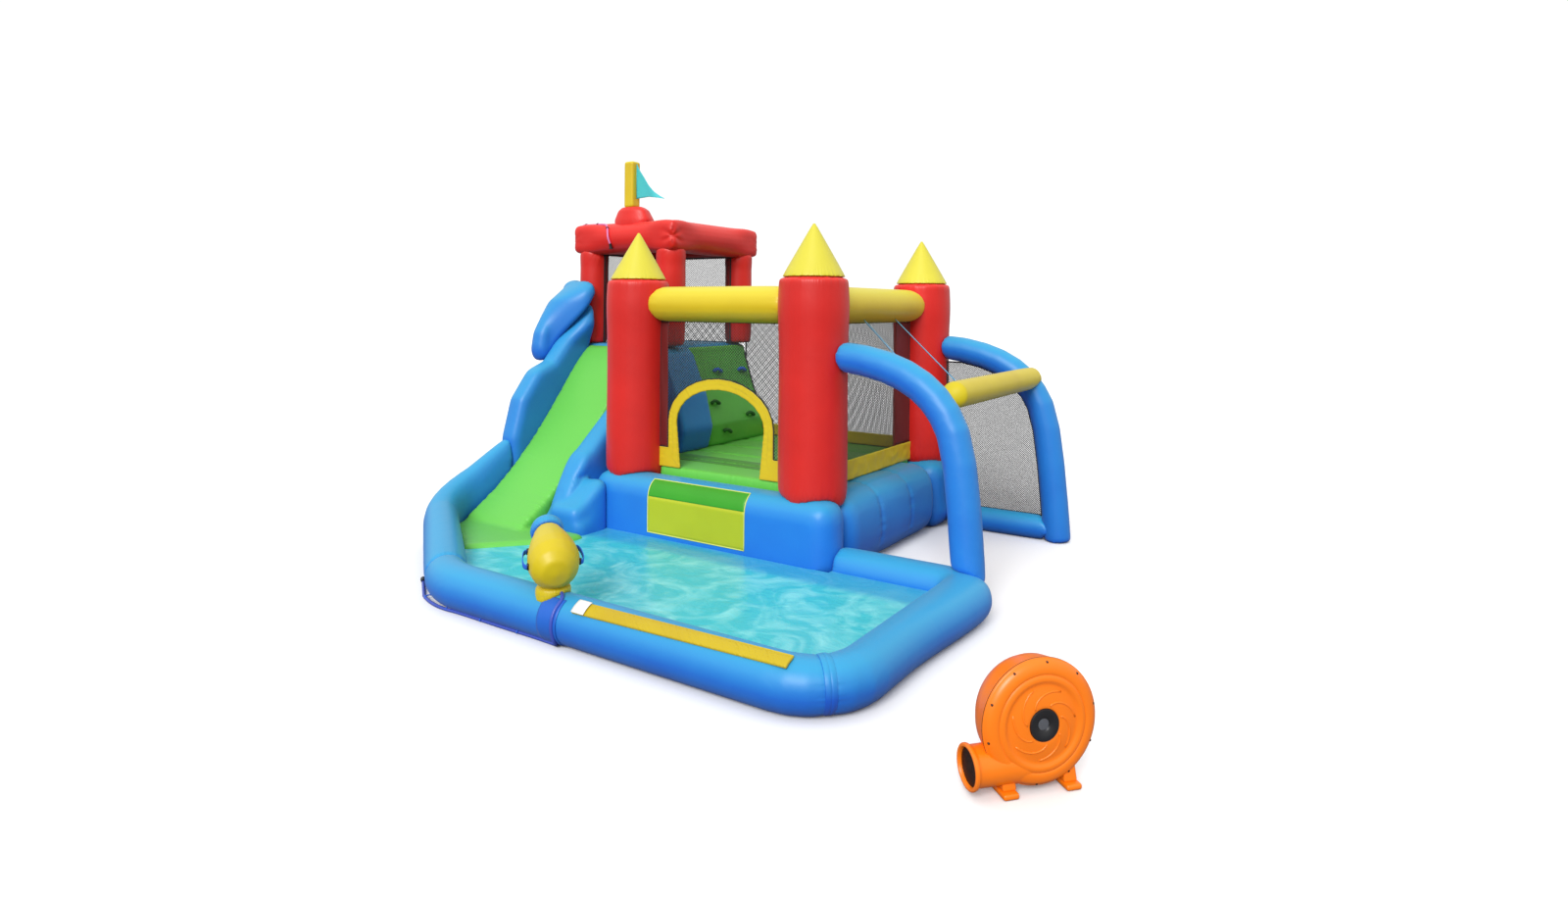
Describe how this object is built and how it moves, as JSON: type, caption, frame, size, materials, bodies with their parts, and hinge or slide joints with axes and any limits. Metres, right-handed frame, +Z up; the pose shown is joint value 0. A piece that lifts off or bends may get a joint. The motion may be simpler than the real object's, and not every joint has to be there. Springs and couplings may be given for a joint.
{
  "type": "inflatable water slide",
  "caption": "Inflatable water park: netted bouncing castle, climbing wall up to a roofed tower, curved slide, splash pool, goal frame, swivelling water cannon and a separate blower",
  "frame": {"origin": "the middle of the bounce floor's underside, on the ground", "axes": "+Z up; the castle's arched entrance faces -Y; the goal frame is on the +X side and the slide tower on the -X side"},
  "size_m": [4.9487, 4.2401, 2.9405],
  "materials": {
    "blue_coated_oxford": "PVC-coated woven polyester, blue, soft sheen",
    "red_coated_oxford": "PVC-coated woven polyester, red, soft sheen",
    "yellow_coated_oxford": "PVC-coated woven polyester, yellow, soft sheen",
    "green_coated_oxford": "PVC-coated woven polyester, light green",
    "climbing_green_oxford": "PVC-coated woven polyester, leaf green",
    "pennant_polyester": "thin woven polyester, pale cyan",
    "pool_liner_vinyl": "vinyl-coated sheet, turquoise",
    "black_mesh": "knitted polyester mesh, black",
    "hose_vinyl": "flexible vinyl, violet-blue",
    "sprinkler_vinyl": "flexible vinyl, pink",
    "light_blue_cord": "braided cord, light blue",
    "orange_abs": "moulded ABS, orange, satin",
    "black_abs": "moulded ABS, black",
    "motor_steel": "plain steel"
  },
  "bodies": {
    "castle_and_blower_housing": {"base_back": "blue_coated_oxford", "base_front": "blue_coated_oxford", "base_right": "blue_coated_oxford", "beam_back": "yellow_coated_oxford", "beam_front": "yellow_coated_oxford", "beam_right": "yellow_coated_oxford", "blower_cable_gland": "black_abs", "blower_front_shell": "orange_abs", "blower_intake_guard": "black_abs", "blower_motor": "motor_steel", "blower_rear_shell": "orange_abs", "bounce_floor": "green_coated_oxford", "cannon_hose": "hose_vinyl", "cannon_post": "yellow_coated_oxford", "climbing_bolster": "blue_coated_oxford", "climbing_wall": "climbing_green_oxford", "column_back_right": "red_coated_oxford", "column_front_left": "red_coated_oxford", "column_front_right": "red_coated_oxford", "cone_back_right": "yellow_coated_oxford", "cone_front_left": "yellow_coated_oxford", "cone_front_right": "yellow_coated_oxford", "entrance_arch": "yellow_coated_oxford", "entry_pad": "yellow_coated_oxford", "flag_pole": "yellow_coated_oxford", "goal_back_arch": "blue_coated_oxford", "goal_base_tube": "blue_coated_oxford", "goal_crossbar": "yellow_coated_oxford", "goal_front_arch": "blue_coated_oxford", "goal_net": "black_mesh", "hoop_cord": "light_blue_cord", "hoop_ring": "black_abs", "inlet_sleeve": "blue_coated_oxford", "net_back": "black_mesh", "net_front": "black_mesh", "net_right": "black_mesh", "pool_front_tube": "blue_coated_oxford", "pool_left_arm": "blue_coated_oxford", "pool_liner": "pool_liner_vinyl", "pool_right_tube": "blue_coated_oxford", "post_back_left": "red_coated_oxford", "post_back_right": "red_coated_oxford", "post_front_left": "red_coated_oxford", "post_front_right": "red_coated_oxford", "roof_crown": "red_coated_oxford", "slide_bed": "green_coated_oxford", "slide_fin": "blue_coated_oxford", "slide_left_wall": "blue_coated_oxford", "slide_right_wall": "blue_coated_oxford", "sprinkler_hose": "sprinkler_vinyl", "tower_core": "blue_coated_oxford", "tower_net": "black_mesh", "tower_roof": "red_coated_oxford"},
    "impeller": {"blower_impeller": "black_abs"},
    "switch_rocker": {"blower_switch": "black_abs"},
    "cannon": {"cannon_body": "yellow_coated_oxford", "cannon_handle_left": "blue_coated_oxford", "cannon_handle_right": "blue_coated_oxford", "cannon_nozzle": "blue_coated_oxford"},
    "flag": {"pennant": "pennant_polyester"}
  },
  "joints": [
    {"name": "impeller_spin", "type": "hinge", "parent": "castle_and_blower_housing", "child": "impeller", "pos_m": [2.6596, -2.4539, 0.25], "axis": [0.7431, -0.6691, 0], "continuous": true},
    {"name": "switch_rock", "type": "hinge", "parent": "castle_and_blower_housing", "child": "switch_rocker", "pos_m": [2.6647, -2.3132, 0.25], "axis": [0.6691, 0.7431, 0], "range_deg": [-12, 12]},
    {"name": "cannon_swivel", "type": "hinge", "parent": "castle_and_blower_housing", "child": "cannon", "pos_m": [0.183, -2.49, 0.275], "axis": [0, 0, 1], "range_deg": [-50, 50]},
    {"name": "pennant_swing", "type": "hinge", "parent": "castle_and_blower_housing", "child": "flag", "pos_m": [-1.3747, -0.217, 2.625], "axis": [0, 0, 1], "range_deg": [-75, 75]}
  ]
}
